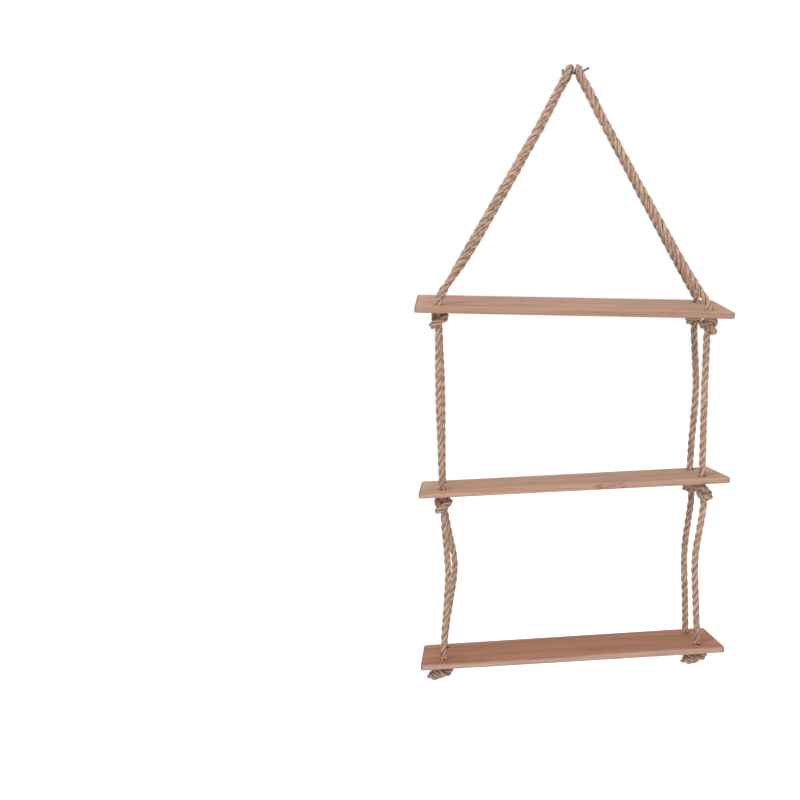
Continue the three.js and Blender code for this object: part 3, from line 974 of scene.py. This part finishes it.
# the runs: one knot under a board and the leg that hangs from it; a leg ends in the mouth of its hole,
# where it has room to lean, and the next knot starts just below
below = {"top": ("upper", "middle"), "middle": ("lower", "bottom")}


def makeRun(tier, corner):
    name, nextTier = below[tier]
    top = atHole(tier, corner, turningDrop)
    route = np.concatenate([knotRoute(tier, corner), legRoute(top, nextTier, corner, bows[name][corner])])
    held = footEnds[tier + "_" + corner]
    piece, footEnds[nextTier + "_" + corner], _ = layRope(name + "_run_" + corner, route, held)
    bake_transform(piece)
    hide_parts("knot_" + tier + "_" + corner, name + "_leg_" + corner)


def makeLastKnot(corner):
    held = footEnds["bottom_" + corner]
    piece = layRope("last_knot_" + corner, knotRoute("bottom", corner), held, fray=rope["fray"])[0]
    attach(piece, "bottom_tier")
    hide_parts("knot_bottom_" + corner)


for corner in corners:
    for tier in below:
        makeRun(tier, corner)
    makeLastKnot(corner)
bpy.data.objects.remove(section)
print("runs laid")


# the hook: one bent rod with a pressed collar and a wood screw thread
def hookRoute():
    tipAngle = math.radians(hook["tipAngle"])
    cornerAngle = math.radians(hook["cornerAngle"])
    corner = np.array((-hook["armLean"], cradleCentre[1], hook["armRise"]))
    armEnd = np.array((0, -hook["armLead"], 0))
    arm = (armEnd - corner) / np.linalg.norm(armEnd - corner)
    outward = np.array((math.cos(tipAngle), 0, math.sin(tipAngle)))
    route = [cradlePoint(tipAngle) + hook["tipLength"] * outward]
    steps = hook["cradleSteps"]
    route += [cradlePoint(tipAngle - (tipAngle + cornerAngle) * step / steps) for step in range(steps + 1)]
    route += [corner + arm * hook["cornerReach"], (corner + armEnd) / 2, armEnd]
    return np.array(route + [np.array((0, -hook["wallGap"], 0))])


def bentRod():
    points = smoothed(evenly(hookRoute(), hook["points"]), hook["easing"])
    flat = hook["tipFlat"]
    rounding = np.clip(np.arange(len(points)) / hook["tipSteps"], 0, 1)  # the tip is filed round
    curve = newCurve("hook_piece")
    curve.bevel_depth = hook["rodRadius"]
    curve.bevel_resolution = 5
    curve.use_fill_caps = True
    addPoly(curve, points, radius=np.sqrt(1 - (1 - rounding) ** 2) * (1 - flat) + flat)
    return meshOf(curve)


def addCollar(body):
    # the collar and the core of the screw behind it
    thick, wide, tip = hook["collarThickness"], hook["collarRadius"], hook["screwLength"]
    core = hook["screwRadius"] * hook["coreShare"]
    ease, back = hook["collarEase"], hook["collarBack"]
    profile = [(0, -thick), (wide - ease, -thick), (wide - ease / 3, ease / 3 - thick)]
    profile += [(wide, ease - thick), (wide, -back), (wide - back, 0)]
    profile += [(core, 0), (core, tip - hook["screwPoint"]), (0, tip)]
    outline = [(radius, along, 0) for radius, along in profile]
    spun(body, outline, (0, 0, 0), (0, 1, 0), hook["facets"])


def addThread(body):
    # a three-sided blade wound round the core, thinner towards the point
    steps, tip, half = hook["threadSteps"], hook["screwLength"], hook["threadHalf"]
    core = hook["screwRadius"] * hook["coreShare"]
    turns = (tip - hook["screwPoint"] * hook["threadEnd"]) / hook["threadPitch"]
    blade = []
    for step in range(int(turns * steps) + 1):
        along = step / steps * hook["threadPitch"] + hook["threadStart"]
        taper = min(1, max(0.02, (tip - along) / hook["screwPoint"]))
        angle = math.tau * step / steps
        inner, outer = core * taper * hook["threadRoot"], hook["screwRadius"] * taper
        ring = []
        for radius, shift in ((inner, -half), (outer, 0), (inner, half)):
            ring.append(body.verts.new((radius * math.cos(angle), along + shift, radius * math.sin(angle))))
        if blade:
            for side in range(3):
                after = (side + 1) % 3
                body.faces.new((blade[side], blade[after], ring[after], ring[side]))
        else:
            body.faces.new(ring)
        blade = ring
    body.faces.new(blade[::-1])


def makeHook():
    body = bmesh.new()
    body.from_mesh(bentRod())
    addCollar(body)
    addThread(body)
    bmesh.ops.remove_doubles(body, verts=body.verts, dist=1e-7)
    bmesh.ops.recalc_face_normals(body, faces=body.faces)
    piece = link(bpy.data.objects.new("hook_piece", finished(body, "hook_piece")), steelMaterial)
    shadeSmooth(piece, hook["smoothBelow"])
    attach(piece, "hook")
    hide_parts("wall_hook")


makeHook()
print("hook made")

# white room: the floor keeps the shelf's shadow, and the camera sees the rest as white
room = {
    "floorReach": 4,
    "floorHeight": -1.25,
    "floorColour": (0.95, 0.95, 0.95, 1),
    "floorRoughness": 0.9,
    "floorGlow": 0.5,
    "white": (1, 1, 1, 1),
    "light": 0.62,
}
lamps = {
    "key": {"place": (-1.6, -2.2, 1.5), "aim": (0, -0.08, -0.45), "size": 1.6, "power": 62},
    "fill": {"place": (2.2, -1.8, 0.2), "aim": (0, -0.08, -0.45), "size": 2.0, "power": 16},
}


def makeFloor():
    floor = bmesh.new()
    bmesh.ops.create_grid(floor, x_segments=2, y_segments=2, size=room["floorReach"])
    bmesh.ops.translate(floor, vec=(0, 0, room["floorHeight"]), verts=floor.verts)
    material, tree, shader = newMaterial("floor")
    shader.inputs["Base Color"].default_value = room["floorColour"]
    shader.inputs["Roughness"].default_value = room["floorRoughness"]
    shader.inputs["Specular IOR Level"].default_value = 0
    shader.inputs["Emission Color"].default_value = room["white"]
    path = addNode(tree, "ShaderNodeLightPath")
    glow = addNode(tree, "ShaderNodeMath", operation="MULTIPLY")
    glow.inputs[1].default_value = room["floorGlow"]
    tree.links.new(path.outputs["Is Camera Ray"], glow.inputs[0])
    tree.links.new(glow.outputs[0], shader.inputs["Emission Strength"])
    link(bpy.data.objects.new("floor", finished(floor, "floor")), material)


def makeWorld():
    world = bpy.data.worlds.new("room")
    scene.world = world
    world.use_nodes = True
    tree = world.node_tree
    path = addNode(tree, "ShaderNodeLightPath")
    seen = addNode(tree, "ShaderNodeMath", operation="MAXIMUM")
    tree.links.new(path.outputs["Is Camera Ray"], seen.inputs[0])
    tree.links.new(path.outputs["Is Glossy Ray"], seen.inputs[1])
    strength = addNode(tree, "ShaderNodeMapRange", **{"To Min": room["light"], "To Max": 1})
    tree.links.new(seen.outputs[0], strength.inputs["Value"])
    tree.nodes["Background"].inputs["Color"].default_value = room["white"]
    tree.links.new(strength.outputs["Result"], tree.nodes["Background"].inputs["Strength"])


def makeLamp(name):
    lamp = bpy.data.lights.new(name, "AREA")
    lamp.energy = lamps[name]["power"]
    lamp.size = lamps[name]["size"]
    obj = link(bpy.data.objects.new(name, lamp))
    obj.location = lamps[name]["place"]
    aim = Vector(lamps[name]["aim"]) - obj.location
    obj.rotation_euler = aim.to_track_quat("-Z", "Y").to_euler()


makeFloor()
makeWorld()
for name in lamps:
    makeLamp(name)
print("room lit")

print("scene finished")
